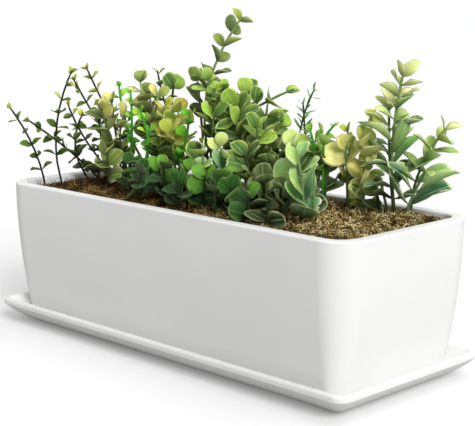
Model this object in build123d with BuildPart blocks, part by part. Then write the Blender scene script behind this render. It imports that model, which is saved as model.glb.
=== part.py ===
from build123d import *
import os
from functools import cache
from math import ceil, cos, radians, sin, sqrt, tan
from typing import NamedTuple
import numpy as np

# Indoor herb planter: a glazed ceramic trough on its own saucer.  A foam block inside the
# trough carries a layer of curled moss and a mixed row of moulded plastic sprigs.  Each sprig
# is a stem with a straight stake, and leaf pairs whose collars are threaded onto the stem.
# Millimetres, Z up, long side along X, origin under the middle of the saucer.

# Pot: a rectangular trough whose walls curve inward below the rim
rim_length = 400.0
rim_width = 160.0
pot_height = 123.5
pot_wall = 10.0
pot_floor = 9.0
flare_radius = 613.0
pot_inner_corner = 4.0
rim_rounding = 1.6
foot_rounding = 6.0
foot_recess = 2.0
drain_diameter = 14.0
drain_spacing = 130.0
drain_count = 3
notch_width = 12.0

# Saucer: a shallow tray whose side bulges up from its foot to a thin, rounded lip
saucer_overhang = 6.0
saucer_height = 21.5
saucer_floor = 6.5
saucer_corner = 11.0
saucer_foot_inset = 24.0
saucer_foot_corner = 5.0
saucer_clearance = 1.0
side_bulge = 3.0
lip_width = 5.0
lip_depth = 4.5
lip_rounding = 2.0

# Filling: the foam block, and the moss layer that lies on it below the rim
foam_clearance = 1.0
moss_drop = 9.0
moss_depth = 20.0
moss_clearance = 1.0
moss_rounding = 6.0
bed_margin = 8.0

# Sprigs: how the stakes stand in the foam and the leaf collars fit on the stems
stake_depth = 36.0
stake_stand = 2.0
stake_clearance = 0.2
tip_share = 0.6
tip_internode = 0.6
collar_clearance = 0.15
collar_wall = 0.9
collar_length = 3.0
blade_thickness = 0.7
leaf_clearance = 1.0

# Setting of the leaf pairs: the turns from shoot to shoot and from pair to pair, the steeper slope
# of a shoot's last pair, and the smaller sizes and the swings that are tried until a pair is clear
shoot_turn = 137.5
pair_turn = 90.0
tip_slope = 62.0
swings = (0, 15, -15, 30, -30, 45, -45, 60, -60, 75, -75, 90)
smaller_sizes = (1.0, 0.88, 0.76, 0.64)
size_step = 1.0
samples_per_internode = 20


class Leaf(NamedTuple):
    """One kind of leaf pair: its outline, the stem it fits, its spacing, its width and its slope."""

    form: str
    gauge: float
    internode: float
    width_share: float
    slope: float


LEAVES = {
    "boxwood": Leaf("pointed", 0.9, 13.5, 0.56, 30.0),
    "dollar": Leaf("round", 1.1, 11.0, 0.88, 40.0),
    "golden": Leaf("round", 1.0, 11.0, 0.80, 42.0),
    "willow": Leaf("round", 1.1, 12.0, 0.52, 38.0),
    "spring": Leaf("fan", 1.1, 11.5, 0.80, 44.0),
    "gum": Leaf("round", 1.1, 9.0, 0.44, 38.0),
    "spreading": Leaf("round", 1.1, 8.0, 0.80, 20.0),
    "rosemary": Leaf("needle", 0.8, 6.5, 0.17, 50.0),
}


class Shoot(NamedTuple):
    """One shoot of a sprig: its leaves, its place on the bed, its lean, rise and bow, the share of
    it that is bare above the moss, and the lengths of its lowest and topmost leaves."""

    sprig: str
    kind: str
    place: tuple
    lean: tuple
    rise: float
    bow: tuple
    bare: float
    blades: tuple


SHOOTS = [
    Shoot("right_tall", "gum", (0.83, 0.72), (-1, 5), 117, (-4, -4), 0.12, (27, 14)),
    Shoot("right_leaning", "gum", (0.88, 0.85), (22, 11), 77, (-6, -6), 0.15, (27, 12)),
    Shoot("front_pale", "dollar", (0.65, -0.49), (-3, -8), 68, (2, 2), 0.04, (24, 12)),
    Shoot("centre_pale", "dollar", (0.02, -0.36), (9, 4), 57, (7, 7), 0.10, (20, 12)),
    Shoot("centre_tall", "willow", (-0.28, 0.86), (9, 14), 156, (-17, -18), 0.30, (22, 13)),
    Shoot("centre_round", "dollar", (-0.22, 0.27), (2, 2), 106, (8, 8), 0.12, (22, 12)),
    Shoot("centre_leaning", "dollar", (-0.12, 0.83), (37, 21), 96, (-32, -32), 0.30, (22, 11)),
    Shoot("golden_low", "golden", (0.69, 0.56), (0, 0), 63, (0, 0), 0.25, (17, 15)),
    Shoot("olive", "dollar", (-0.71, 0.23), (-17, -26), 76, (-2, -2), 0.20, (18, 14)),
    Shoot("pale_yellow", "dollar", (-0.58, 0.93), (-37, -23), 98, (-5, -5), 0.30, (15, 12)),
    Shoot("golden", "golden", (-0.46, 0.46), (-12, -7), 78, (0, 0), 0.25, (15, 12)),
    Shoot("centre_round", "dollar", (-0.17, 0.46), (5, 1), 100, (1, 1), 0.20, (24, 13)),
    Shoot("centre_leaning", "dollar", (-0.07, 0.56), (7, 13), 89, (-7, -7), 0.25, (24, 16)),
    Shoot("bright_left", "spring", (-0.53, -0.40), (12, 5), 79, (9, 9), 0.18, (12, 8)),
    Shoot("bright_right", "spring", (-0.33, -0.10), (18, 8), 78, (2, 2), 0.18, (13, 9)),
    Shoot("far_left", "boxwood", (-0.98, -0.86), (-22, -22), 77, (4, 4), 0.14, (10, 7)),
    Shoot("left_upright", "boxwood", (-0.94, -0.63), (8, 8), 108, (-7, -7), 0.22, (11, 8)),
    Shoot("left_short", "boxwood", (-0.94, -0.07), (-2, -6), 68, (-8, -8), 0.12, (12, 8)),
    Shoot("left_spread", "boxwood", (-0.99, 0.23), (-21, -69), 64, (3, 3), 0.15, (10, 8)),
    Shoot("left_spread", "boxwood", (-0.93, 0.43), (-25, -38), 76, (-4, -4), 0.14, (10, 8)),
    Shoot("left_back", "boxwood", (-0.98, 0.86), (-22, -53), 99, (-1, -1), 0.20, (10, 7)),
    Shoot("left_back", "boxwood", (-0.83, 0.80), (-40, -40), 109, (-2, -2), 0.20, (10, 8)),
    Shoot("lime", "spring", (-0.68, 0.56), (-26, -20), 95, (-5, -5), 0.42, (9, 8)),
    Shoot("lime", "spring", (-0.62, -0.17), (6, 1), 93, (2, 2), 0.42, (9, 8)),
    Shoot("needle", "rosemary", (0.26, 0.96), (-2, 6), 98, (-8, -8), 0.35, (11, 8)),
    Shoot("needle", "rosemary", (0.29, 0.86), (-4, -6), 89, (0, 0), 0.40, (11, 8)),
    Shoot("mid_green", "spring", (0.42, 0.70), (3, 10), 73, (-10, -10), 0.30, (11, 8)),
    Shoot("mid_green", "spring", (0.42, 0.46), (0, -4), 71, (3, 3), 0.25, (11, 8)),
    Shoot("golden_upper", "golden", (0.58, 0.93), (1, 9), 82, (1, 1), 0.30, (12, 9)),
    Shoot("golden_upper", "golden", (0.52, 0.80), (2, -2), 71, (2, 2), 0.30, (10, 8)),
    Shoot("centre_fork", "dollar", (0.19, 0.17), (0, -5), 72, (1, 1), 0.15, (19, 13)),
    Shoot("centre_fork", "dollar", (0.14, 0.30), (-15, -11), 74, (-1, -1), 0.25, (20, 15)),
    Shoot("back_fork", "dollar", (0.28, 0.33), (-4, 5), 76, (-10, -10), 0.25, (16, 10)),
    Shoot("back_dark", "boxwood", (-0.46, 0.99), (-36, -25), 107, (-5, -5), 0.45, (11, 9)),
    Shoot("back_dark", "dollar", (-0.44, 0.90), (-27, -11), 94, (-8, -8), 0.35, (16, 14)),
    Shoot("pale_yellow", "dollar", (-0.50, 0.70), (-13, -20), 89, (-9, -9), 0.30, (15, 12)),
    Shoot("olive", "dollar", (-0.63, 0.36), (-21, -14), 67, (-10, -10), 0.25, (17, 14)),
    Shoot("golden", "golden", (-0.40, 0.36), (2, -6), 77, (-2, -2), 0.25, (15, 12)),
    Shoot("golden_low", "dollar", (0.57, 0.68), (0, -4), 58, (0, 0), 0.25, (18, 15)),
    Shoot("front_dark", "spreading", (0.78, 0.59), (1, -7), 26, (0, 0), 0.30, (26, 22)),
    Shoot("right_leaning", "gum", (0.88, 0.65), (19, 3), 46, (-1, -1), 0.25, (28, 24)),
    Shoot("front_low", "dollar", (0.30, -0.73), (4, -4), 29, (0, 0), 0.10, (19, 15)),
    Shoot("front_low", "dollar", (0.10, -0.63), (3, -3), 34, (0, 0), 0.10, (19, 15)),
    Shoot("centre_pale", "dollar", (0.08, -0.20), (12, 4), 49, (5, 5), 0.10, (18, 13)),
    Shoot("front_dark", "dollar", (0.41, -0.46), (3, -3), 36, (0, 0), 0.10, (19, 16)),
    Shoot("front_dark", "dollar", (0.57, -0.66), (4, -4), 36, (0, 0), 0.10, (19, 16)),
    Shoot("front_pale", "dollar", (0.68, -0.40), (4, -4), 46, (0, 0), 0.10, (20, 16)),
    Shoot("low_dark", "dollar", (-0.46, -0.50), (4, -4), 35, (0, 0), 0.10, (16, 13)),
    Shoot("low_dark", "dollar", (-0.16, -0.66), (2, -2), 38, (0, 0), 0.10, (16, 13)),
    Shoot("low_dark", "dollar", (0.03, -0.76), (1, -1), 39, (0, 0), 0.10, (17, 14)),
    Shoot("golden_low", "dollar", (0.75, 0.88), (-3, -10), 36, (0, 0), 0.20, (20, 17)),
    Shoot("olive", "dollar", (-0.72, -0.27), (4, -4), 38, (0, 0), 0.15, (16, 13)),
    Shoot("mid_green", "spring", (0.48, 0.46), (3, -3), 61, (0, 0), 0.20, (14, 9)),
    Shoot("back_fork", "dollar", (0.14, 0.56), (-4, 4), 51, (0, 0), 0.20, (18, 13)),
    Shoot("right_tall", "gum", (0.78, 0.87), (-8, 0), 90, (-1, -1), 0.28, (22, 14)),
    Shoot("golden", "golden", (-0.50, 0.17), (7, -4), 57, (0, 0), 0.20, (14, 12)),
    Shoot("centre_leaning", "dollar", (-0.13, 0.93), (-7, 4), 92, (-5, -6), 0.35, (20, 14)),
    Shoot("centre_round", "spring", (-0.22, -0.03), (20, 12), 98, (5, 5), 0.40, (11, 8)),
    Shoot("olive", "dollar", (-0.81, 0.24), (-2, -11), 81, (0, 0), 0.20, (18, 14)),
    Shoot("olive", "dollar", (-0.83, 0.25), (1, 9), 55, (0, 0), 0.20, (18, 14)),
    Shoot("pale_yellow", "dollar", (-0.79, 0.92), (-11, 0), 81, (0, 0), 0.35, (17, 13)),
    Shoot("back_dark", "dollar", (-0.72, 0.59), (8, 1), 63, (0, 0), 0.30, (18, 14)),
    Shoot("golden", "golden", (-0.33, 0.06), (2, -9), 62, (0, 0), 0.30, (16, 13)),
    Shoot("centre_round", "dollar", (-0.34, 0.70), (-12, -1), 103, (0, 0), 0.35, (18, 13)),
    Shoot("centre_round", "dollar", (-0.11, 0.04), (8, -1), 79, (0, 0), 0.25, (20, 15)),
    Shoot("centre_leaning", "dollar", (-0.06, 0.26), (10, 3), 85, (0, 0), 0.30, (22, 15)),
    Shoot("centre_leaning", "dollar", (0.02, 0.61), (3, 11), 85, (0, 0), 0.35, (20, 14)),
    Shoot("centre_fork", "dollar", (0.07, 0.42), (1, 8), 57, (0, 0), 0.25, (20, 15)),
    Shoot("centre_fork", "dollar", (0.21, -0.03), (1, -10), 52, (0, 0), 0.20, (20, 15)),
    Shoot("centre_pale", "dollar", (0.06, -0.44), (3, -10), 52, (0, 0), 0.10, (19, 13)),
    Shoot("bright_left", "spring", (-0.60, 0.13), (8, 1), 59, (0, 0), 0.30, (12, 9)),
    Shoot("mid_green", "spring", (0.43, 0.64), (1, 10), 56, (0, 0), 0.25, (13, 9)),
    Shoot("left_back", "boxwood", (-0.94, 0.23), (-10, -1), 69, (0, 0), 0.30, (11, 9)),
    Shoot("low_dark", "dollar", (-0.43, -0.12), (1, -7), 33, (0, 0), 0.15, (16, 13)),
    Shoot("front_low", "dollar", (0.06, -0.37), (6, -2), 29, (0, 0), 0.10, (18, 15)),
    Shoot("front_dark", "dollar", (0.55, -0.12), (1, -7), 38, (0, 0), 0.10, (18, 15)),
    Shoot("back_fork", "dollar", (0.14, 0.74), (0, 11), 57, (0, 0), 0.30, (16, 12)),
    Shoot("left_short", "boxwood", (-0.89, 0.14), (-1, -8), 53, (0, 0), 0.20, (11, 9)),
    Shoot("low_dark", "spreading", (-0.25, -0.86), (1, -1), 31, (0, 0), 0.20, (18, 15)),
    Shoot("low_dark", "spreading", (-0.29, -0.40), (1, -1), 31, (0, 0), 0.20, (18, 15)),
    Shoot("low_dark", "spreading", (0.04, -0.93), (1, -1), 29, (0, 0), 0.20, (19, 16)),
    Shoot("front_low", "spreading", (0.27, -0.94), (1, -1), 27, (0, 0), 0.20, (20, 16)),
    Shoot("front_low", "spreading", (0.19, -0.56), (1, -1), 34, (0, 0), 0.20, (20, 16)),
    Shoot("front_low", "spreading", (0.45, -0.86), (1, -1), 26, (0, 0), 0.20, (20, 16)),
    Shoot("front_dark", "spreading", (0.28, -0.27), (1, -1), 34, (0, 0), 0.20, (20, 16)),
    Shoot("front_dark", "spreading", (0.58, -0.93), (1, -1), 24, (0, 0), 0.20, (20, 16)),
    Shoot("front_dark", "spreading", (0.53, -0.46), (1, -1), 29, (0, 0), 0.20, (20, 16)),
    Shoot("low_dark", "spreading", (-0.65, -0.10), (1, -1), 29, (0, 0), 0.20, (16, 14)),
    Shoot("olive", "spreading", (-0.92, 0.03), (1, -1), 29, (0, 0), 0.20, (15, 13)),
    Shoot("back_fork", "spreading", (0.41, 0.23), (1, -1), 41, (0, 0), 0.20, (18, 14)),
    Shoot("golden_low", "spreading", (0.63, 0.91), (-6, -9), 27, (0, 0), 0.20, (18, 15)),
]


def wall_inset(radius, depth):
    """How far a wall that curves on this radius has moved inward at a depth below the rim."""
    return radius - sqrt(radius**2 - depth**2)


os.makedirs("parts", exist_ok=True)

# Levels of the pot, from the saucer's floor up to the rim
foot_z = saucer_floor
floor_z = foot_z + pot_floor
rim_z = foot_z + pot_height

# Plan of the pot: its floor inside the walls, and its foot on the saucer
inner_radius = flare_radius - pot_wall
floor_inset = pot_wall + wall_inset(inner_radius, rim_z - floor_z)
floor_length = rim_length - 2 * floor_inset
floor_width = rim_width - 2 * floor_inset
foot_inset = wall_inset(flare_radius, pot_height)
foot_ring = floor_inset - foot_inset
mid_z = (foot_z + rim_z) / 2
inner_mid_z = (floor_z + rim_z) / 2

with BuildPart() as pot:
    with BuildLine(Plane.XY.offset(foot_z)) as wall_run:
        FilletPolyline(
            (floor_length / 2, 0),
            (floor_length / 2, floor_width / 2),
            (-floor_length / 2, floor_width / 2),
            (-floor_length / 2, 0),
            radius=pot_inner_corner,
        )
    with BuildSketch(Plane((floor_length / 2, 0, 0), (1, 0, 0), (0, -1, 0))) as wall_section:
        with BuildLine():
            Line((0, floor_z), (0, foot_z))
            Line((0, foot_z), (foot_ring, foot_z))
            ThreePointArc(
                (foot_ring, foot_z),
                (floor_inset - wall_inset(flare_radius, rim_z - mid_z), mid_z),
                (floor_inset, rim_z),
            )
            Line((floor_inset, rim_z), (floor_inset - pot_wall, rim_z))
            ThreePointArc(
                (floor_inset - pot_wall, rim_z),
                (floor_inset - pot_wall - wall_inset(inner_radius, rim_z - inner_mid_z), inner_mid_z),
                (0, floor_z),
            )
        make_face()
        fillet(wall_section.vertices().group_by(Axis.Y)[-1], rim_rounding)
        fillet(wall_section.vertices().group_by(Axis.Y)[0].sort_by(Axis.X)[-1], foot_rounding)
    sweep(path=wall_run.wire())
    mirror(about=Plane.XZ)
    with BuildSketch(Plane.XY.offset(foot_z + foot_recess)):
        RectangleRounded(floor_length, floor_width, pot_inner_corner)
        with GridLocations(drain_spacing, 0, drain_count, 1):
            Circle(drain_diameter / 2, mode=Mode.SUBTRACT)
    extrude(amount=pot_floor - foot_recess)
    with BuildSketch(Plane.XY.offset(foot_z)):
        with GridLocations(drain_spacing, 0, drain_count, 1):
            Rectangle(notch_width, rim_width)
    extrude(amount=foot_recess, mode=Mode.SUBTRACT)
pot.part.label = "pot"
export_step(pot.part, "parts/pot.step")

# Plan of the saucer: its lip above, its foot below, the bulge of its side half way up, and the
# flat seat inside that the pot's foot stands on
saucer_length = rim_length + 2 * saucer_overhang
saucer_width = rim_width + 2 * saucer_overhang
side_top = saucer_height - lip_depth
bulge_inset = saucer_foot_inset / 2 - side_bulge
bulge_corner = (saucer_foot_corner + saucer_corner) / 2
seat_inset = saucer_overhang + foot_inset - saucer_clearance
seat_corner = pot_inner_corner + foot_ring + saucer_clearance


def saucer_plan(inset, corner):
    """A level section of the saucer, this far inside its outer edge."""
    return RectangleRounded(saucer_length - 2 * inset, saucer_width - 2 * inset, corner)


with BuildPart() as saucer:
    with BuildSketch():
        saucer_plan(saucer_foot_inset, saucer_foot_corner)
    with BuildSketch(Plane.XY.offset(side_top / 2)):
        saucer_plan(bulge_inset, bulge_corner)
    with BuildSketch(Plane.XY.offset(side_top)) as lip_plan:
        saucer_plan(0, saucer_corner)
    loft()
    extrude(lip_plan.sketch, amount=lip_depth)
    with BuildSketch(Plane.XY.offset(saucer_floor)):
        saucer_plan(seat_inset, seat_corner)
    with BuildSketch(Plane.XY.offset(saucer_height)):
        saucer_plan(lip_width, saucer_corner - lip_width)
    loft(ruled=True, mode=Mode.SUBTRACT)
    fillet(saucer.edges().group_by(Axis.Z)[-1], lip_rounding)
saucer.part.label = "saucer"
export_step(saucer.part, "parts/saucer.step")

# The filling: the moss follows the wall, and the foam stands on the pot's floor below it
moss_top = rim_z - moss_drop
moss_z = moss_top - moss_depth
moss_inset = pot_wall + wall_inset(inner_radius, rim_z - moss_z) + moss_clearance
moss_length = rim_length - 2 * moss_inset
moss_width = rim_width - 2 * moss_inset
bed_half_length = moss_length / 2 - bed_margin
bed_half_width = moss_width / 2 - bed_margin


def stake_place(shoot):
    """Where a shoot's stake stands on the bed."""
    return (shoot.place[0] * bed_half_length, shoot.place[1] * bed_half_width)


with BuildSketch() as stake_holes:
    for shoot in SHOOTS:
        with Locations(stake_place(shoot)):
            Circle(LEAVES[shoot.kind].gauge + stake_clearance)

with BuildPart() as foam_block:
    with BuildSketch(Plane.XY.offset(floor_z)):
        RectangleRounded(
            floor_length - 2 * foam_clearance, floor_width - 2 * foam_clearance, pot_inner_corner
        )
    extrude(amount=moss_z - floor_z)
    with BuildSketch(Plane.XY.offset(moss_z - stake_depth)):
        add(stake_holes.sketch)
    extrude(amount=stake_depth, mode=Mode.SUBTRACT)
foam_block.part.label = "foam_block"
export_step(foam_block.part, "parts/foam_block.step")

with BuildPart() as moss_layer:
    with BuildSketch(Plane.XY.offset(moss_z)):
        RectangleRounded(moss_length, moss_width, pot_inner_corner + floor_inset - moss_inset)
    extrude(amount=moss_depth)
    fillet(moss_layer.edges().group_by(Axis.Z)[-1], moss_rounding)
    with BuildSketch(Plane.XY.offset(moss_z)):
        add(stake_holes.sketch)
    extrude(amount=moss_depth, mode=Mode.SUBTRACT)
moss_layer.part.label = "moss_layer"
export_step(moss_layer.part, "parts/moss_layer.step")


def blade_plane(leaf):
    """The plane of a blade that slopes up and outward from its collar, X along the blade."""
    slope = radians(leaf.slope)
    drop = (leaf.gauge + collar_clearance) * tan(slope)
    return Plane((0, 0, -drop), (cos(slope), 0, sin(slope)), (-sin(slope), 0, cos(slope)))


def leaf_pair(leaf, length):
    """Two opposite blades moulded on one collar, with the stem's axis along Z."""
    bore = leaf.gauge + collar_clearance
    root = bore / cos(radians(leaf.slope))
    width = leaf.width_share * length
    middle = (root + length) / 2
    with BuildPart() as pair:
        with BuildSketch(blade_plane(leaf)):
            if leaf.form == "pointed":
                with BuildLine():
                    ThreePointArc((root, 0), (middle, width / 2), (length, 0))
                    ThreePointArc((length, 0), (middle, -width / 2), (root, 0))
                make_face()
            elif leaf.form == "round":
                with Locations((middle, 0)):
                    Ellipse((length - root) / 2, width / 2)
            elif leaf.form == "fan":
                with BuildSketch(mode=Mode.PRIVATE) as ends:
                    with Locations((root, 0)):
                        Circle(collar_wall)
                    with Locations((length - width / 2, 0)):
                        Circle(width / 2)
                make_hull(ends.edges())
            else:
                with Locations((middle, 0)):
                    SlotOverall(length - root, width)
        extrude(amount=blade_thickness / 2, both=True)
        mirror(about=Plane.YZ)
        Cylinder(bore + collar_wall, collar_length)
        Cylinder(bore, 2 * length, mode=Mode.SUBTRACT)
    return pair.part


def half_width(leaf, length, along):
    """Half of a blade's width at a distance along it."""
    root = (leaf.gauge + collar_clearance) / cos(radians(leaf.slope))
    widest = leaf.width_share * length / 2
    offset = max(-1.0, min(1.0, 2 * (along - root) / (length - root) - 1))
    if leaf.form == "pointed":
        return widest * (1 - offset**2)
    if leaf.form == "round":
        return widest * sqrt(1 - offset**2)
    if leaf.form == "fan":
        centre = length - widest
        past = max(0.0, min(widest, along - centre))
        return min(widest * along / centre, sqrt(widest**2 - past**2))
    return widest


@cache
def blade_samples(leaf, length):
    """Points spread over both blades of a pair, half a clearance apart."""
    plane = blade_plane(leaf)
    step = leaf_clearance / 2
    grid = []
    for along in np.linspace(0, length, ceil(length / step) + 1):
        half = half_width(leaf, length, along)
        grid += [(along, across) for across in np.linspace(-half, half, ceil(2 * half / step) + 1)]
    blade = np.array(grid) @ np.array([tuple(plane.x_dir), tuple(plane.y_dir)]) + tuple(plane.origin)
    return np.vstack([blade, blade * (-1, 1, 1)])


def cells(points):
    """The cubes of space, one clearance wide, that points lie in."""
    return set(map(tuple, np.floor(np.asarray(points) / leaf_clearance).astype(int).tolist()))


def with_neighbours(filled):
    """Cubes of space together with every cube that touches them."""
    steps = (-1, 0, 1)
    return {(x + i, y + j, z + k) for x, y, z in filled for i in steps for j in steps for k in steps}


def over_bed_and_rim(points):
    """Whether points stay above the moss and, outside the bed, above the pot's rim."""
    over_bed = (abs(points[:, 0]) < moss_length / 2) & (abs(points[:, 1]) < moss_width / 2)
    lowest = np.where(over_bed, moss_top, rim_z) + leaf_clearance
    return bool((points[:, 2] > lowest).all())


def stem_joints(shoot):
    """The joints of a stem above the moss, on its leaning and bowed line: whole internodes, and
    a short one at the tip."""
    foot = Vector(*stake_place(shoot), moss_top + stake_stand)
    span = Vector(*shoot.lean, shoot.rise - stake_stand)
    bow = Vector(*shoot.bow)
    whole = max(1, round(span.length * (1 - shoot.bare) / LEAVES[shoot.kind].internode - tip_internode))
    steps = [*range(whole + 1), whole + tip_internode]
    shares = [0] + [shoot.bare + (1 - shoot.bare) * step / steps[-1] for step in steps]
    return [foot + span * share + bow * (4 * share * (1 - share)) for share in shares]


def square_plane(point, facing, turn=0.0):
    """A plane square to a stem's run, turned about that run from the X direction."""
    upward = facing.normalized()
    outward = Vector(cos(radians(turn)), sin(radians(turn)), 0)
    return Plane(point, x_dir=outward - upward * outward.dot(upward), z_dir=upward)


sprigs = list(dict.fromkeys(shoot.sprig for shoot in SHOOTS))
joints = [stem_joints(shoot) for shoot in SHOOTS]
stem_space = {}
for number, points in enumerate(joints):
    for start, end in zip(points, points[1:]):
        shares = np.linspace(0, 1, samples_per_internode)
        line = [tuple(start + (end - start) * share) for share in shares]
        for cell in with_neighbours(with_neighbours(cells(line))):
            stem_space.setdefault(cell, set()).add(number)

for sprig in sprigs:
    with BuildPart() as stems:
        for shoot, above in zip(SHOOTS, joints):
            if shoot.sprig == sprig:
                gauge = LEAVES[shoot.kind].gauge
                line = [Vector(above[0].X, above[0].Y, moss_z - stake_depth)] + above
                runs = [(end - start).normalized() for start, end in zip(line, line[1:])]
                facings = [runs[0]] + [one + other for one, other in zip(runs, runs[1:])] + [runs[-1]]
                for point, facing in zip(line, facings):
                    with BuildSketch(square_plane(point, facing)):
                        Circle(gauge * tip_share if point is line[-1] else gauge)
                loft(ruled=True, clean=False)
    stems.part.label = f"{sprig}_stems"
    export_step(stems.part, f"parts/{sprig}_stems.step")

leaf_space = set()
places = {sprig: {} for sprig in sprigs}


def is_clear(points, number):
    """Whether a pair's points stay off the leaves, the other stems, the moss and the rim."""
    space = cells(points)
    crossed = set().union(*(stem_space.get(cell, ()) for cell in space))
    return over_bed_and_rim(points) and not space & leaf_space and crossed <= {number}


for number, shoot in enumerate(SHOOTS):
    internodes = list(zip(joints[number], joints[number][1:]))[1:]
    lengths = np.linspace(*shoot.blades, len(internodes))
    for level, (start, end) in enumerate(internodes):
        leaf = LEAVES[shoot.kind]
        if level == len(internodes) - 1:
            leaf = leaf._replace(slope=tip_slope)
        choices = [(size, swing) for size in smaller_sizes for swing in swings]
        for size, swing in choices:
            length = size_step * round(float(lengths[level]) * size / size_step)
            turn = shoot_turn * number + pair_turn * level + swing
            plane = square_plane((start + end) / 2, end - start, turn)
            turned = np.array([tuple(plane.x_dir), tuple(plane.y_dir), tuple(plane.z_dir)])
            points = blade_samples(leaf, length) @ turned + tuple(plane.origin)
            if is_clear(points, number):
                leaf_space |= with_neighbours(cells(points))
                places[shoot.sprig].setdefault((leaf, length), []).append(plane.location)
                break

moulds = {}
for sprig in sprigs:
    pairs = []
    for (leaf, length), spots in places[sprig].items():
        if (leaf, length) not in moulds:
            moulds[leaf, length] = leaf_pair(leaf, length)
        pairs += [moulds[leaf, length].solid().moved(spot) for spot in spots]
    leaves = Compound(pairs, label=f"{sprig}_leaves")
    export_step(leaves, f"parts/{sprig}_leaves.step")
    print(leaves.label, len(pairs))
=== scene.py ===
from math import cos, pi, radians, sin

import bmesh
import bpy
import numpy as np
from mathutils import Matrix, Vector


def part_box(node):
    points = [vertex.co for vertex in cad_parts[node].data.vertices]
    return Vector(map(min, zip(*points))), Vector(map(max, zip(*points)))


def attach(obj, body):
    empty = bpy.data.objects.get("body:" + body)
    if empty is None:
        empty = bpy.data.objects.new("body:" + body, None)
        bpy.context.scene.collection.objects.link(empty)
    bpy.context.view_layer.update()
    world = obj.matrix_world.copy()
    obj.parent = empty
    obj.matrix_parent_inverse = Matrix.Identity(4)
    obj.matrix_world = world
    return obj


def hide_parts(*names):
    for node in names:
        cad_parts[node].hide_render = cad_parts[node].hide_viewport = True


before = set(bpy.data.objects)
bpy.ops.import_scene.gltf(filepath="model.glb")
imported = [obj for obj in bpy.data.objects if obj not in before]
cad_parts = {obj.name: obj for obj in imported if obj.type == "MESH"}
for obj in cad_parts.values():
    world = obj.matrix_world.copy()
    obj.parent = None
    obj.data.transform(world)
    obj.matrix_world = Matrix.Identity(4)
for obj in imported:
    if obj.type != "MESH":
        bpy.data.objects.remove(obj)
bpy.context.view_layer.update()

MM = 0.001

# Saucer and pot: slip-cast earthenware, dipped in one white satin glaze and fired.  The pot
# stands loose on the saucer's floor, and both keep the shape of their moulds.


def linear(code):
    """An sRGB hex colour as linear RGBA."""
    levels = [int(code[i:i + 2], 16) / 255 for i in (1, 3, 5)]
    return [c / 12.92 if c <= 0.04045 else ((c + 0.055) / 1.055) ** 2.4 for c in levels] + [1.0]


def add_node(tree, kind, inputs=None, **settings):
    """Adds a node with its settings, and gives each input named a value or a link."""
    node = tree.nodes.new(kind)
    for name, value in settings.items():
        setattr(node, name, value)
    for key, value in (inputs or {}).items():
        if isinstance(value, bpy.types.NodeSocket):
            tree.links.new(value, node.inputs[key])
        else:
            node.inputs[key].default_value = value
    return node


def start_material(name):
    """A new material with its node tree and its shader."""
    material = bpy.data.materials.new(name)
    material.use_nodes = True
    return material, material.node_tree, material.node_tree.nodes["Principled BSDF"]


# White satin glaze on earthenware: the glass layer pools a little thicker in places, which
# greys it slightly, and its skin has a soft orange peel that only breaks up the sheen.
glaze, tree, shader = start_material("white_satin_glaze")
POOLING = 70 * MM
PEEL = 5 * MM
PEEL_DEPTH = 0.1 * MM
coords = add_node(tree, "ShaderNodeTexCoord").outputs["Object"]
pooling = add_node(
    tree, "ShaderNodeTexNoise", {"Vector": coords, "Scale": 1 / POOLING, "Detail": 3.0}
)
peel = add_node(tree, "ShaderNodeTexNoise", {"Vector": coords, "Scale": 1 / PEEL, "Detail": 2.0})
tint = add_node(
    tree, "ShaderNodeMix",
    {0: pooling.outputs["Fac"], 6: linear("#f4f4f2"), 7: linear("#ebebea")}, data_type="RGBA",
)
sheen = add_node(
    tree, "ShaderNodeMapRange", {"Value": pooling.outputs["Fac"], "To Min": 0.34, "To Max": 0.46}
)
skin = add_node(
    tree, "ShaderNodeBump",
    {"Height": peel.outputs["Fac"], "Strength": 0.05, "Distance": PEEL_DEPTH},
)
tree.links.new(tint.outputs[2], shader.inputs["Base Color"])
tree.links.new(sheen.outputs["Result"], shader.inputs["Roughness"])
tree.links.new(skin.outputs["Normal"], shader.inputs["Normal"])
shader.inputs["IOR"].default_value = 1.5
for node in ("saucer", "pot"):
    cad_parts[node].material_slots[0].material = glaze

# Foam block: dry floral foam cut to the pot's inside, where it stands loose on the floor.  The
# sprigs' stakes are pushed into it through the moss.

# Dry floral foam: matt, with crushed open cells about a millimetre across.
foam, tree, shader = start_material("dry_floral_foam")
FOAM_CELL = 1.2 * MM
FOAM_PIT = 0.5 * MM
coords = add_node(tree, "ShaderNodeTexCoord").outputs["Object"]
cells = add_node(tree, "ShaderNodeTexVoronoi", {"Vector": coords, "Scale": 1 / FOAM_CELL})
tint = add_node(
    tree, "ShaderNodeMix",
    {0: cells.outputs["Distance"], 6: linear("#2f3a26"), 7: linear("#55613f")}, data_type="RGBA",
)
pits = add_node(
    tree, "ShaderNodeBump",
    {"Height": cells.outputs["Distance"], "Strength": 0.6, "Distance": FOAM_PIT},
)
tree.links.new(tint.outputs[2], shader.inputs["Base Color"])
tree.links.new(pits.outputs["Normal"], shader.inputs["Normal"])
shader.inputs["Roughness"].default_value = 0.9
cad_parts["foam_block"].material_slots[0].material = foam

# Moss: dried curled fibre, packed loosely over the foam in a bed that mounds up to the rim.
# It is a matted bed, kept dark as painted shade in the gaps between the thousands of loose curls
# lying on it, held by the pot's walls.
MOSS_LOW, MOSS_HIGH = (np.array(corner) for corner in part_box("moss_layer"))
MOSS_STEP = 3 * MM
BED_RISE = 0.5 * MM
MOUND_RISE = 4.5 * MM
MOUND_FROM, MOUND_RUN = -20 * MM, 130 * MM
EDGE_DROP, EDGE_RUN = 7.0 * MM, 14 * MM
rng = np.random.default_rng(7)


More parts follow.
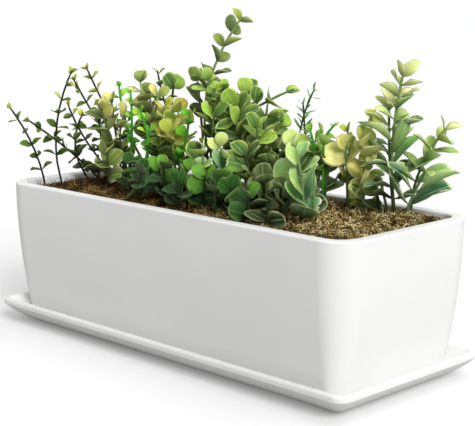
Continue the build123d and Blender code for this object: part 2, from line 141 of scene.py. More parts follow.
def moss_height(x, y):
    """Height of the matted bed: uneven, mounded at the right end, and lower along the walls."""
    edge = np.minimum(MOSS_HIGH[0] - abs(x), MOSS_HIGH[1] - y)
    fall = np.clip(1 - edge / EDGE_RUN, 0, 1) ** 2
    mound = np.clip((x - MOUND_FROM) / MOUND_RUN, 0, 1)
    swell = 2.0 * np.sin(x * 61 + 1.3) * np.cos(y * 83 + 0.4) + 1.5 * np.sin(x * 143 - y * 117)
    rise = BED_RISE + MOUND_RISE * mound**2 * (3 - 2 * mound) - EDGE_DROP * fall
    return MOSS_HIGH[2] + rise + swell * MM


def moss_patch(name, x_low, x_high):
    """A patch of the bed's upper face between two places along the pot."""
    across = round((MOSS_HIGH[1] - MOSS_LOW[1]) / MOSS_STEP)
    along = round((x_high - x_low) / MOSS_STEP)
    x, y = np.meshgrid(
        np.linspace(x_low, x_high, along + 1),
        np.linspace(MOSS_LOW[1], MOSS_HIGH[1], across + 1), indexing="ij",
    )
    points = np.stack([x, y, moss_height(x, y)], axis=-1).reshape(-1, 3)
    row = across + 1
    quads = [
        (i * row + j, (i + 1) * row + j, (i + 1) * row + j + 1, i * row + j + 1)
        for i in range(along) for j in range(across)
    ]
    mesh = bpy.data.meshes.new(name)
    mesh.from_pydata(points.tolist(), [], quads)
    piece = bpy.data.objects.new(name, mesh)
    bpy.context.collection.objects.link(piece)
    return piece


moss_bed = moss_patch("moss_bed", MOSS_LOW[0], MOSS_HIGH[0])
build = bmesh.new()
build.from_mesh(moss_bed.data)
skirt = bmesh.ops.extrude_edge_only(build, edges=[edge for edge in build.edges if edge.is_boundary])
for item in skirt["geom"]:
    if isinstance(item, bmesh.types.BMVert):
        item.co.z = MOSS_LOW[2]
bmesh.ops.contextual_create(build, geom=[edge for edge in build.edges if edge.is_boundary])
bmesh.ops.recalc_face_normals(build, faces=build.faces)
build.to_mesh(moss_bed.data)
build.free()
moss_bed.data.shade_smooth()


def dye_ramp(tree, value, stops):
    """A colour that runs through the stops, each a place and an sRGB hex colour."""
    dye = add_node(tree, "ShaderNodeValToRGB", {"Fac": value})
    while len(dye.color_ramp.elements) < len(stops):
        dye.color_ramp.elements.new(0.5)
    for element, (place, colour) in zip(dye.color_ramp.elements, stops):
        element.position = place
        element.color = linear(colour)
    return dye.outputs["Color"]


# Dried moss: dull fibre from dark umber to straw.  Clumps of the loose curls are painted lighter
# and darker as light and shade on their relief, and the bed under them is evenly dark, as painted
# shade in the gaps.
moss, tree, shader = start_material("dried_moss_fibre")
FIBRE = 2.5 * MM
FIBRE_SHARE = 0.35
CLUMP = 11 * MM
CURL_SHADE = 0.05
coords = add_node(tree, "ShaderNodeTexCoord").outputs["Object"]
shade = add_node(tree, "ShaderNodeAttribute", attribute_name="shade").outputs["Fac"]
fibre = add_node(tree, "ShaderNodeTexNoise", {"Vector": coords, "Scale": 1 / FIBRE, "Detail": 4.0})
mixed = add_node(
    tree, "ShaderNodeMath", {0: fibre.outputs["Fac"], 1: FIBRE_SHARE, 2: shade},
    operation="MULTIPLY_ADD",
)
# Painted light and shade: patches of the curls are lightened and darkened like lit clumps and
# shaded hollows.
clumps = add_node(tree, "ShaderNodeTexNoise", {"Vector": coords, "Scale": 1 / CLUMP, "Detail": 2.0})
clump_light_and_shade = add_node(
    tree, "ShaderNodeMapRange",
    {
        "Value": clumps.outputs["Fac"], "From Min": 0.35, "From Max": 0.65,
        "To Min": -0.25, "To Max": 0.19,
    },
)
# The bed keeps none of the clumps' painted light and stays evenly dark, as painted shade in the
# gaps.
on_curls = add_node(tree, "ShaderNodeMapRange", {"Value": shade, "From Max": CURL_SHADE})
mixed = add_node(
    tree, "ShaderNodeMath",
    {0: clump_light_and_shade.outputs["Result"], 1: on_curls.outputs["Result"], 2: mixed.outputs["Value"]},
    operation="MULTIPLY_ADD",
)
moss_dye = dye_ramp(
    tree, mixed.outputs["Value"],
    [(0.10, "#150d05"), (0.34, "#4a3518"), (0.58, "#8a6b33"), (0.82, "#cab068"), (1.0, "#f2e4ae")],
)
tree.links.new(moss_dye, shader.inputs["Base Color"])
shader.inputs["Roughness"].default_value = 0.85
shader.inputs["Specular IOR Level"].default_value = 0.2
moss_bed.data.materials.append(moss)
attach(moss_bed, "planting")
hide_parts("moss_layer")

# The loose curls: thin strands bent into part of a coil, of a few kinds, strewn over the bed.
# Painted shade makes them darker towards the left end of the pot, under the foliage, and they run
# to straw at the right end.
CURL_SIDES = 3
CURL_STEPS = 8
CURL_KINDS = 8
CURL_RADIUS = 0.48 * MM
CURL_SPAN = (6, 12)
CURL_TURNS = (0.5, 1.4)
CURL_SWING = (0.9, 2.4)
curls = bpy.data.collections.new("moss_curls")
for kind in range(CURL_KINDS):
    share = np.linspace(0, 1, CURL_STEPS + 1)
    span = rng.uniform(*CURL_SPAN) * MM
    turns = rng.uniform(*CURL_TURNS)
    swing = rng.uniform(*CURL_SWING) * MM
    start = rng.uniform(0, 2 * pi)
    line = np.stack(
        [
            span * (share - 0.5),
            swing * np.cos(2 * pi * turns * share + start),
            0.8 * swing * np.sin(2 * pi * turns * share + start),
        ],
        axis=-1,
    )
    run = np.gradient(line, axis=0)
    run /= np.linalg.norm(run, axis=1, keepdims=True)
    side = np.cross(run, (0, 0.2, 1))
    side /= np.linalg.norm(side, axis=1, keepdims=True)
    rise = np.cross(side, run)
    thick = CURL_RADIUS * (0.35 + 0.65 * np.sin(pi * np.clip(share, 0.05, 0.95)) ** 0.5)
    points = []
    for step in range(CURL_STEPS + 1):
        for corner in range(CURL_SIDES):
            angle = 2 * pi * corner / CURL_SIDES
            ring = cos(angle) * side[step] + 0.6 * sin(angle) * rise[step]
            points.append(line[step] + thick[step] * ring)
    quads = [
        (
            step * CURL_SIDES + corner,
            step * CURL_SIDES + (corner + 1) % CURL_SIDES,
            (step + 1) * CURL_SIDES + (corner + 1) % CURL_SIDES,
            (step + 1) * CURL_SIDES + corner,
        )
        for step in range(CURL_STEPS) for corner in range(CURL_SIDES)
    ]
    first = range(CURL_SIDES)
    ends = [tuple(first)[::-1], tuple(CURL_STEPS * CURL_SIDES + i for i in first)]
    mesh = bpy.data.meshes.new(f"moss_curl_{kind}")
    mesh.from_pydata([tuple(p) for p in points], [], quads + ends)
    mesh.shade_smooth()
    curls.objects.link(bpy.data.objects.new(f"moss_curl_{kind}", mesh))


def add_socket(group, name, kind, in_out="INPUT"):
    """Adds a named socket to a node group and gives its identifier."""
    sockets = group.interface
    return sockets.new_socket(name, in_out=in_out, socket_type=f"NodeSocket{kind}").identifier


CURL_TILT = 0.75
CURL_SIZES = (0.55, 1.25)
CURL_LIFT = (-1.0 * MM, 4.0 * MM)
PAINTED_SHADE_FROM, PAINTED_SHADE_TO = -70 * MM, 130 * MM
scatter = bpy.data.node_groups.new("scattered_curls", "GeometryNodeTree")
add_socket(scatter, "Geometry", "Geometry")
CURLS_IN = add_socket(scatter, "Curls", "Collection")
DENSITY_IN = add_socket(scatter, "Density", "Float")
SEED_IN = add_socket(scatter, "Seed", "Int")
FIBRE_IN = add_socket(scatter, "Material", "Material")
add_socket(scatter, "Geometry", "Geometry", "OUTPUT")
given = add_node(scatter, "NodeGroupInput").outputs
strewn = add_node(
    scatter, "GeometryNodeDistributePointsOnFaces",
    {"Mesh": given["Geometry"], "Density": given["Density"], "Seed": given["Seed"]},
)
kinds = add_node(
    scatter, "GeometryNodeCollectionInfo",
    {"Collection": given["Curls"], "Separate Children": True, "Reset Children": True},
)
turn = add_node(
    scatter, "FunctionNodeRandomValue",
    {0: (-CURL_TILT, -CURL_TILT, 0.0), 1: (CURL_TILT, CURL_TILT, 2 * pi), "Seed": 3},
    data_type="FLOAT_VECTOR",
)
size = add_node(
    scatter, "FunctionNodeRandomValue", {2: CURL_SIZES[0], 3: CURL_SIZES[1], "Seed": 5},
    data_type="FLOAT",
)
pick = add_node(
    scatter, "FunctionNodeRandomValue", {4: 0, 5: CURL_KINDS - 1, "Seed": 9}, data_type="INT"
)
laid = add_node(
    scatter, "GeometryNodeInstanceOnPoints",
    {
        "Points": strewn.outputs["Points"], "Instance": kinds.outputs["Instances"],
        "Pick Instance": True, "Instance Index": pick.outputs[2],
        "Rotation": turn.outputs[0], "Scale": size.outputs[1],
    },
)
lift = add_node(
    scatter, "FunctionNodeRandomValue",
    {0: (0.0, 0.0, CURL_LIFT[0]), 1: (0.0, 0.0, CURL_LIFT[1]), "Seed": 11},
    data_type="FLOAT_VECTOR",
)
raised = add_node(
    scatter, "GeometryNodeTranslateInstances",
    {"Instances": laid.outputs["Instances"], "Translation": lift.outputs[0], "Local Space": False},
)
along_pot = add_node(
    scatter, "ShaderNodeSeparateXYZ", {0: add_node(scatter, "GeometryNodeInputPosition").outputs[0]}
).outputs["X"]
# Painted shade: the curls' dye is held darker towards the left end of the pot, under the foliage.
painted_shade_bound = add_node(
    scatter, "ShaderNodeMapRange",
    {"Value": along_pot, "From Min": PAINTED_SHADE_FROM, "From Max": PAINTED_SHADE_TO, "To Min": 0.46, "To Max": 1.0},
).outputs["Result"]
dye_and_painted_shade = add_node(
    scatter, "FunctionNodeRandomValue", {2: CURL_SHADE, 3: painted_shade_bound, "Seed": 13}, data_type="FLOAT"
)
shaded = add_node(
    scatter, "GeometryNodeStoreNamedAttribute",
    {"Geometry": raised.outputs["Instances"], "Name": "shade", "Value": dye_and_painted_shade.outputs[1]},
    data_type="FLOAT", domain="INSTANCE",
)
loose = add_node(scatter, "GeometryNodeRealizeInstances", {"Geometry": shaded.outputs["Geometry"]})
dyed = add_node(
    scatter, "GeometryNodeSetMaterial",
    {"Geometry": loose.outputs["Geometry"], "Material": given["Material"]},
)
add_node(scatter, "NodeGroupOutput", {"Geometry": dyed.outputs["Geometry"]})


def as_mesh(source, name):
    """The evaluated geometry of an object as a plain mesh object, in place of the source."""
    depsgraph = bpy.context.evaluated_depsgraph_get()
    mesh = bpy.data.meshes.new_from_object(source.evaluated_get(depsgraph), depsgraph=depsgraph)
    mesh.name = name
    old = source.data
    bpy.data.objects.remove(source)
    bpy.data.meshes.remove(old)
    piece = bpy.data.objects.new(name, mesh)
    bpy.context.collection.objects.link(piece)
    return piece


CURL_PATCHES = 5
CURLS_PER_SQUARE_METRE = 360_000
BELOW_RIM = 6 * MM
BED_MARGIN = 2 * MM
WALL_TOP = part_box("pot")[1][2] - BELOW_RIM
WALL_SLOPE = 0.5
patch_edges = np.linspace(MOSS_LOW[0] + BED_MARGIN, MOSS_HIGH[0] - BED_MARGIN, CURL_PATCHES + 1)
for patch in range(CURL_PATCHES):
    ground = moss_patch(f"moss_ground_{patch}", patch_edges[patch], patch_edges[patch + 1])
    modifier = ground.modifiers.new("curls", "NODES")
    modifier.node_group = scatter
    modifier[CURLS_IN] = curls
    modifier[DENSITY_IN] = float(CURLS_PER_SQUARE_METRE)
    modifier[SEED_IN] = patch
    modifier[FIBRE_IN] = moss
    strands = as_mesh(ground, f"moss_curls_{patch + 1}")
    places = np.empty(len(strands.data.vertices) * 3, dtype=np.float32)
    strands.data.vertices.foreach_get("co", places)
    places = places.reshape(-1, 3)
    places[:, :2] = np.clip(places[:, :2], MOSS_LOW[:2], MOSS_HIGH[:2])
    from_wall = (MOSS_HIGH[:2] - abs(places[:, :2])).min(axis=1)
    places[:, 2] = np.minimum(places[:, 2], WALL_TOP + WALL_SLOPE * from_wall)
    strands.data.vertices.foreach_set("co", places.ravel())
    strands.data.shade_smooth()
    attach(strands, "planting")

# Stems: moulded polyethylene, dyed to match the leaves of each sprig.  Each one's stake passes
# through the moss into the foam, and the stems keep the shape of the solids.
STEM_FOOT, STEM_END = 120 * MM, 230 * MM
STEM_GRAIN = 3 * MM


def stem_plastic(name, low, high):
    """A stem plastic that is darker at the moss and lighter at the shoot's end."""
    material, tree, shader = start_material(name)
    coords = add_node(tree, "ShaderNodeTexCoord").outputs["Object"]
    height = add_node(tree, "ShaderNodeSeparateXYZ", {0: coords}).outputs["Z"]
    share = add_node(
        tree, "ShaderNodeMapRange", {"Value": height, "From Min": STEM_FOOT, "From Max": STEM_END}
    ).outputs["Result"]
    grain = add_node(
        tree, "ShaderNodeTexNoise", {"Vector": coords, "Scale": 1 / STEM_GRAIN, "Detail": 2.0}
    ).outputs["Fac"]
    colour = add_node(
        tree, "ShaderNodeMix", {0: share, 6: linear(low), 7: linear(high)}, data_type="RGBA"
    ).outputs[2]
    light = add_node(
        tree, "ShaderNodeMapRange", {"Value": grain, "To Min": 0.7, "To Max": 1.3}
    ).outputs["Result"]
    colour = add_node(
        tree, "ShaderNodeHueSaturation", {"Value": light, "Color": colour}
    ).outputs["Color"]
    tree.links.new(colour, shader.inputs["Base Color"])
    shader.inputs["Roughness"].default_value = 0.55
    shader.inputs["Specular IOR Level"].default_value = 0.1
    return material


STEMS = {
    "dark": (
        "#0f150a", "#2e3c18",
        ("far_left", "left_upright", "left_short", "left_spread", "left_back", "back_dark"),
    ),
    "sage": (
        "#2c3a1e", "#6f8a4c",
        ("centre_round", "centre_leaning", "centre_fork", "back_fork", "olive"),
    ),
    "pale": (
        "#5c7d4a", "#9ab870",
        ("front_pale", "centre_pale", "pale_yellow", "golden", "golden_low", "golden_upper"),
    ),
    "bright": ("#2c7622", "#5eb63a", ("bright_left", "bright_right", "lime", "mid_green")),
    "fresh": ("#5a7547", "#7f9a55", ("right_tall", "right_leaning", "centre_tall")),
    "deep": ("#182a12", "#37562a", ("low_dark", "front_dark", "front_low", "needle")),
}
for shade_name, (low, high, sprigs) in STEMS.items():
    material = stem_plastic(f"{shade_name}_stem_plastic", low, high)
    for sprig in sprigs:
        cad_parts[f"{sprig}_stems"].material_slots[0].material = material

# Leaves: each pair is moulded in one piece of plastic and threaded on its stem.  The blades are
# thin, cupped and arched, with a pale margin and a midrib, and no two stand alike.
LOW_ROWS = 4
TIP_ROWS = 5
LEAF_COLUMNS = 6
LEAF_KINDS = 5
LEAF_STALK = 0.035
LEAF_BODY = 0.035


def leaf_outline(widest, base, tip):
    """The rows of a blade as shares of its length, and its half width at each, at most a half."""
    below = np.linspace(0, 1, LOW_ROWS + 1)[:-1]
    above = np.linspace(0, 1, TIP_ROWS + 1)
    share = np.concatenate([widest * below, widest + (1 - widest) * np.sin(pi / 2 * above)])
    half = 0.5 * np.concatenate([np.sin(pi / 2 * below**base), np.cos(pi / 2 * above) ** tip])
    half[:-1] = np.maximum(half[:-1], LEAF_STALK)
    half[-1] = 0.0
    return share, half


def leaf_mesh(name, outline, cup, arch, fold, lean, twist, wave):
    """A closed blade one unit long and wide: cupped, arched, folded, twisted, wavy at its edge."""
    points, corners = [], []
    for under in (0, 1):
        for u, w in zip(*outline):
            for v in np.linspace(-1, 1, LEAF_COLUMNS + 1):
                hollow = 2 * cup * (v * w) ** 2 + fold * abs(v) * w
                crown = arch * sin(pi * u) - 1.2 * arch * u
                bend = twist * u * v * w + wave * sin(7 * u + 3 * v) * abs(v) * w
                depth = under * LEAF_BODY * (1 - v**4) * (1 - u**6) * min(1.0, 0.3 + 3 * u)
                points.append((u, v * w + lean * u * u, hollow + crown + bend - depth))
                corners.append((u + under, (v + 1) / 2))
    row = LEAF_COLUMNS + 1
    rows = LOW_ROWS + TIP_ROWS
    sheet = row * (rows + 1)
    quads = []
    for i in range(rows):
        for j in range(LEAF_COLUMNS):
            quad = (i * row + j, (i + 1) * row + j, (i + 1) * row + j + 1, i * row + j + 1)
            quads.append(quad)
            quads.append(tuple(sheet + k for k in reversed(quad)))
    stalk = [(j, j + 1, sheet + j + 1, sheet + j) for j in range(LEAF_COLUMNS)]
    mesh = bpy.data.meshes.new(name)
    mesh.from_pydata(points, [], quads + stalk)
    uv = mesh.uv_layers.new(name="blade")
    for loop in mesh.loops:
        uv.data[loop.index].uv = corners[loop.vertex_index]
    build = bmesh.new()
    build.from_mesh(mesh)
    bmesh.ops.remove_doubles(build, verts=build.verts, dist=1e-5)
    bmesh.ops.recalc_face_normals(build, faces=build.faces)
    build.to_mesh(mesh)
    build.free()
    mesh.shade_smooth()
    return mesh


# Each form of blade: its width share in the solids, where it is widest, how its base and its tip
# are drawn in, and how far it is cupped, arched and folded.
LEAF_FORMS = {
    "needle": (0.17, 0.50, 0.60, 0.90, 0.00, 0.03, 0.00),
    "long": (0.34, 0.60, 0.95, 0.85, 0.22, 0.05, 0.05),
    "box": (0.56, 0.50, 0.85, 1.25, 0.20, 0.05, 0.08),
    "spoon": (0.80, 0.66, 1.25, 0.95, 0.20, 0.06, 0.03),
    "oval": (0.80, 0.56, 0.85, 0.85, 0.20, 0.06, 0.03),
    "round": (0.88, 0.55, 0.75, 0.82, 0.20, 0.06, 0.02),
}
leaf_forms = bpy.data.collections.new("leaf_forms")
form_order = []
for form, (_, widest, base, tip, cup, arch, fold) in LEAF_FORMS.items():
    for kind in range(LEAF_KINDS):
        outline = leaf_outline(
            widest + rng.uniform(-0.03, 0.03), base, tip * rng.uniform(0.9, 1.1)
        )
        mesh = leaf_mesh(
            f"{form}_{kind}", outline, cup * rng.uniform(0.2, 1.6), arch * rng.uniform(-1.2, 2.0),
            fold * rng.uniform(0.0, 2.0), rng.uniform(-0.07, 0.07), rng.uniform(-0.22, 0.22),
            rng.uniform(0.0, 0.10),
        )
        blade = bpy.data.objects.new(f"leaf_{len(form_order):02d}_{form}", mesh)
        leaf_forms.objects.link(blade)
        form_order.append(form)

leafing = bpy.data.node_groups.new("leaves_on_stems", "GeometryNodeTree")
add_socket(leafing, "Geometry", "Geometry")
FORMS_IN = add_socket(leafing, "Forms", "Collection")
LEAF_IN = add_socket(leafing, "Material", "Material")
add_socket(leafing, "Geometry", "Geometry", "OUTPUT")
given = add_node(leafing, "NodeGroupInput").outputs
kinds = add_node(
    leafing, "GeometryNodeCollectionInfo",
    {"Collection": given["Forms"], "Separate Children": True, "Reset Children": True},
)
pick, turn, size = (
    add_node(leafing, "GeometryNodeInputNamedAttribute", {"Name": name}, data_type=kind)
    for name, kind in (("form", "INT"), ("turn", "FLOAT_VECTOR"), ("size", "FLOAT_VECTOR"))
)
grown = add_node(
    leafing, "GeometryNodeInstanceOnPoints",
    {
        "Points": given["Geometry"], "Instance": kinds.outputs["Instances"], "Pick Instance": True,
        "Instance Index": pick.outputs["Attribute"], "Rotation": turn.outputs["Attribute"],
        "Scale": size.outputs["Attribute"],
    },
)
loose = add_node(leafing, "GeometryNodeRealizeInstances", {"Geometry": grown.outputs["Instances"]})
dyed = add_node(
    leafing, "GeometryNodeSetMaterial",
    {"Geometry": loose.outputs["Geometry"], "Material": given["Material"]},
)
add_node(leafing, "NodeGroupOutput", {"Geometry": dyed.outputs["Geometry"]})

COLLAR_REACH = 2.3 * MM
COLLAR_FOOT = 1.5 * MM
TIP_DEPTH = 0.5 * MM


def leaf_pairs(node):
    """The leaf pairs of a CAD node: each one's place on its stem, its directions and its sizes."""
    build = bmesh.new()
    build.from_mesh(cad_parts[node].data)
    bmesh.ops.remove_doubles(build, verts=build.verts, dist=1e-6)
    build.verts.index_update()
    build.faces.index_update()
    reached = set()
    pairs = []
    for first in build.verts:
        if first in reached:
            continue
        reached.add(first)
        island = [first]
        for vert in island:
            for edge in vert.link_edges:
                other = edge.other_vert(vert)
                if other not in reached:
                    reached.add(other)
                    island.append(other)
        faces = sorted(
            {face for vert in island for face in vert.link_faces}, key=lambda face: face.index
        )
        areas = np.array([face.calc_area() for face in faces])
        centres = np.array([face.calc_center_median() for face in faces])
        middle = areas @ centres / areas.sum()
        spread = ((centres - middle) * areas[:, None]).T @ (centres - middle)
        outward = np.linalg.eigh(spread)[1][:, -1]
        outward *= np.sign(outward[abs(outward).argmax()])
        points = np.array([vert.co for vert in island]) - middle
        reach = points @ outward
        collar = points[abs(reach) < COLLAR_REACH]
        upward = -collar.mean(axis=0)
        upward -= outward * (upward @ outward)
        upward /= np.linalg.norm(upward)
        aside = np.cross(upward, outward)
        near = collar[abs(collar @ aside) < COLLAR_REACH]
        foot = (near @ upward).min() + COLLAR_FOOT
        tip = (points @ upward)[reach > reach.max() - TIP_DEPTH].mean() - foot
        width = np.ptp(points @ aside)
        pairs.append((middle + upward * foot, outward, upward, reach.max(), tip, width))
    build.free()
    return pairs


TIP_SLOPE = 1.5
BUD_RISE = 2.5 * MM
BUD_SHARE = 0.55
TIP_FORM_FROM = 0.7
BROADEST = 1.05
DROOP, PITCH, YAW = 0.08, 0.22, 0.24
LENGTHS = (0.92, 1.10)
WIDTHS = (0.94, 1.10)
TONE_SHAPE = 1.6
FRONT = Vector((0.55, -0.60, 0.58))


def grow_leaves(sprig, material, forms, spread=1.1, roll=0.5, facing=0.5, tip_form=None):
    """The leaves of one sprig, set where its CAD pairs are, each with its own form and turn, and
    a pair of small buds inside each pair that ends a shoot.  Spread scales the blades, roll is
    how unevenly they turn, facing the share by which they are dressed to face the front, and the
    upper ones may have another form."""
    pairs = leaf_pairs(f"{sprig}_leaves")
    top = max(pair[0][2] for pair in pairs)
    spots, turns, sizes, shapes, shoot_heights, tones = [], [], [], [], [], []
    for centre, outward, upward, reach, tip, width in pairs:
        length = float(np.hypot(reach, tip))
        nearest = min(forms, key=lambda form: abs(LEAF_FORMS[form][0] - width / length))
        if tip_form and (centre[2] - MOSS_HIGH[2]) > TIP_FORM_FROM * (top - MOSS_HIGH[2]):
            nearest = tip_form
        broad = min(width / length, LEAF_FORMS[nearest][0] * BROADEST)
        blades = [(centre, outward * side * reach + upward * tip, 1.0) for side in (1, -1)]
        if tip > TIP_SLOPE * reach:
            aside = np.cross(upward, outward) * reach
            bud = centre + upward * BUD_RISE
            blades += [(bud, aside * side + upward * tip, BUD_SHARE) for side in (1, -1)]
        for spot, chord, share in blades:
            chord = Vector(chord).normalized()
            normal = Vector(upward).lerp(FRONT, facing)
            normal = (normal - chord * chord.dot(normal)).normalized()
            basis = Matrix((chord, normal.cross(chord), normal)).transposed()
            wobble = (
                Matrix.Rotation(rng.normal(0, roll), 3, "X")
                @ Matrix.Rotation(rng.normal(DROOP, PITCH), 3, "Y")
                @ Matrix.Rotation(rng.normal(0, YAW), 3, "Z")
            )
            scale = share * length * spread * rng.uniform(*LENGTHS)
            spots.append(tuple(spot))
            turns += (basis @ wobble).to_euler("XYZ")[:]
            sizes += (scale, scale * broad * rng.uniform(*WIDTHS), scale)
            shapes.append(form_order.index(nearest) + int(rng.integers(LEAF_KINDS)))
            # How high a leaf stands on its shoot: it sets the leaf's dye and the painted shade at
            # the shoot's foot.
            shoot_heights.append((spot[2] - MOSS_HIGH[2]) / (top - MOSS_HIGH[2] + BUD_RISE))
            tones.append(float(rng.beta(TONE_SHAPE, TONE_SHAPE)))
    mesh = bpy.data.meshes.new("leaf_spots")
    mesh.from_pydata(spots, [], [])
    for name, kind, field, values in (
        ("turn", "FLOAT_VECTOR", "vector", turns), ("size", "FLOAT_VECTOR", "vector", sizes),
        ("form", "INT", "value", shapes), ("dye_and_painted_shade", "FLOAT", "value", shoot_heights),
        ("tone", "FLOAT", "value", tones),
    ):
        mesh.attributes.new(name, kind, "POINT").data.foreach_set(field, values)
    holder = bpy.data.objects.new("leaf_spots", mesh)
    bpy.context.collection.objects.link(holder)
    modifier = holder.modifiers.new("leaves", "NODES")
    modifier.node_group = leafing
    modifier[FORMS_IN] = leaf_forms
    modifier[LEAF_IN] = material
    leaves = as_mesh(holder, f"{sprig}_foliage")
    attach(leaves, "planting")
    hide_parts(f"{sprig}_leaves")


# Moulded polyethylene leaf: satin plastic, darker towards the foot of the shoot, partly by its dye
# and partly by painted shade, sprayed paler along its margin and midrib, with a faint mottle and a
# paler underside.
LEAF_MOTTLE = 5 * MM
VEIN_SPACING = 0.055
VEIN_WIDTH = 0.012
RIB_RISE = 0.4 * MM


def leaf_plastic(
    name, stops, margin, rim=0.5, blotch=None, mottle=0.22, spread=0.7, stalk=0.42
):
    """A leaf plastic whose colour follows how high a leaf stands on its shoot and its own tone.
    The stops run from the shoot's foot to its tip, partly dye and partly painted shade at the foot,
    margin is the sprayed edge and rim its share, blotch a second dye in patches, and stalk how dark
    painted shade makes a blade at its foot."""
    material, tree, shader = start_material(name)

    def calc(operation, *values):
        inputs = dict(enumerate(values))
        return add_node(tree, "ShaderNodeMath", inputs, operation=operation).outputs[0]

    def fade(value, start, end, low=0.0, high=1.0, curve="SMOOTHSTEP"):
        limits = {"From Min": start, "From Max": end, "To Min": low, "To Max": high}
        return add_node(
            tree, "ShaderNodeMapRange", {"Value": value, **limits}, interpolation_type=curve
        ).outputs["Result"]

    def sprayed(share, colour, code):
        inputs = {0: share, 6: colour, 7: linear(code)}
        return add_node(tree, "ShaderNodeMix", inputs, data_type="RGBA").outputs[2]

    coords = add_node(tree, "ShaderNodeTexCoord").outputs
    dye_and_painted_shade = add_node(tree, "ShaderNodeAttribute", attribute_name="dye_and_painted_shade").outputs["Fac"]
    tone = add_node(tree, "ShaderNodeAttribute", attribute_name="tone").outputs["Fac"]
    # The place on the stops: height on the shoot, whose low end paints shade, moved by the leaf's
    # own tone.
    dye_and_shade_place = calc("MULTIPLY_ADD", calc("SUBTRACT", tone, 0.5), spread, dye_and_painted_shade)
    colour = dye_ramp(tree, dye_and_shade_place, stops)
    spots = add_node(
        tree, "ShaderNodeTexNoise",
        {"Vector": coords["Object"], "Scale": 1 / LEAF_MOTTLE, "Detail": 3.0},
    ).outputs["Fac"]
    if blotch:
        colour = sprayed(fade(spots, 0.44, 0.70, curve="LINEAR"), colour, blotch)

    # Places on the blade: along it from stalk to tip, and aside from its midrib, a half at most.
    # The underside's own map lies one unit further along.
    blade = add_node(tree, "ShaderNodeSeparateXYZ", {0: coords["UV"]}).outputs
    aside = calc("ABSOLUTE", calc("SUBTRACT", blade["Y"], 0.5))
    under = calc("GREATER_THAN", blade["X"], 1.0)
    along = calc("SUBTRACT", blade["X"], under)

    # The spray: a soft flush towards the sides, then a clear edge round the sides and the tip.
    edge = calc("MAXIMUM", fade(aside, 0.40, 0.48), fade(along, 0.91, 0.985))
    colour = sprayed(fade(aside, 0.12, 0.46, high=0.24), colour, margin)
    colour = sprayed(calc("MULTIPLY", edge, rim), colour, margin)

    # The midrib and the slanting side veins stand up a little and catch some of the spray.
    midrib = fade(aside, 0.045, 0.012)
    rows = calc("PINGPONG", calc("MULTIPLY_ADD", aside, -0.9, along), VEIN_SPACING)
    veins = fade(rows, VEIN_WIDTH, 0.0, curve="LINEAR")
    ribs = calc("MAXIMUM", midrib, calc("MULTIPLY", veins, 0.3))
    colour = sprayed(calc("MULTIPLY", ribs, 0.35), colour, margin)

    # The underside is greyer, and a blade is mottled and darkened near its stalk by painted shade.
    colour = sprayed(calc("MULTIPLY", under, 0.20), colour, "#b4c294")
    mottled = fade(spots, 0.0, 1.0, 1.0 - mottle, 1.0 + mottle, curve="LINEAR")
    light = calc("MULTIPLY", mottled, fade(along, 0.0, 0.80, stalk, 1.05))
    colour = add_node(tree, "ShaderNodeHueSaturation", {"Value": light, "Color": colour})
    raised = add_node(
        tree, "ShaderNodeBump", {"Height": ribs, "Strength": 0.5, "Distance": RIB_RISE}
    )
    tree.links.new(colour.outputs["Color"], shader.inputs["Base Color"])
    tree.links.new(raised.outputs["Normal"], shader.inputs["Normal"])
    shader.inputs["Roughness"].default_value = 0.46
    shader.inputs["Specular IOR Level"].default_value = 0.14
    shader.inputs["Subsurface Weight"].default_value = 0.2
    shader.inputs["Subsurface Radius"].default_value = (0.7, 1.0, 0.3)
    shader.inputs["Subsurface Scale"].default_value = 1.0 * MM
    return material


# Boxwood at the left: small dark leaves on thin shoots, yellow at the tips.
box_leaf = leaf_plastic(
    "boxwood_leaf_plastic",
    [(0.0, "#0c1a06"), (0.42, "#223c0e"), (0.74, "#648420"), (1.0, "#dede50")],
    "#8aa63c", rim=0.35, spread=0.55,
)
for sprig in ("far_left", "left_upright", "left_short", "left_spread", "left_back"):
    grow_leaves(sprig, box_leaf, ("box",), spread=1.3, facing=0.2)

# Round-leaved eucalyptus in the middle: sage green with a bright sprayed edge.
sage_leaf = leaf_plastic(
    "sage_eucalyptus_plastic",
    [(0.0, "#243f22"), (0.45, "#3f6332"), (0.78, "#56803a"), (1.0, "#a0c64c")],
    "#daf080", rim=0.95, spread=0.95,
)
for sprig in ("centre_round", "centre_leaning", "centre_fork", "back_fork", "back_dark"):
    grow_leaves(sprig, sage_leaf, ("round", "oval"), spread=1.35)

# Olive eucalyptus left of the middle: from dull green to a faded yellow.
olive_leaf = leaf_plastic(
    "olive_eucalyptus_plastic",
    [(0.0, "#20361a"), (0.35, "#445f2c"), (0.68, "#86a048"), (1.0, "#ece888")],
    "#eaee98", rim=0.85, spread=1.0,
)
for sprig in ("olive", "pale_yellow"):
    grow_leaves(sprig, olive_leaf, ("round", "oval"), spread=1.3, facing=0.4)

# The tallest shoot: greyer, slimmer leaves that stand apart.
grey_leaf = leaf_plastic(
    "grey_eucalyptus_plastic",
    [(0.0, "#22381f"), (0.50, "#3f5c34"), (0.76, "#6c8440"), (1.0, "#a4b44c")],
    "#ccd88c", rim=0.8, spread=0.5,
)
grow_leaves(
    "centre_tall", grey_leaf, ("oval",), spread=1.2, facing=0.15, tip_form="box"
)

# Pale eucalyptus at the front: broad mint leaves that clasp the stem.
pale_leaf = leaf_plastic(
    "pale_eucalyptus_plastic",
    [(0.0, "#468a56"), (0.30, "#7cc07e"), (0.65, "#a6d878"), (1.0, "#dcf084")],
    "#f0fac8", rim=0.9,
)
for sprig, scale in (("front_pale", 1.45), ("centre_pale", 1.25)):
    grow_leaves(sprig, pale_leaf, ("round", "oval"), spread=scale, facing=0.7)

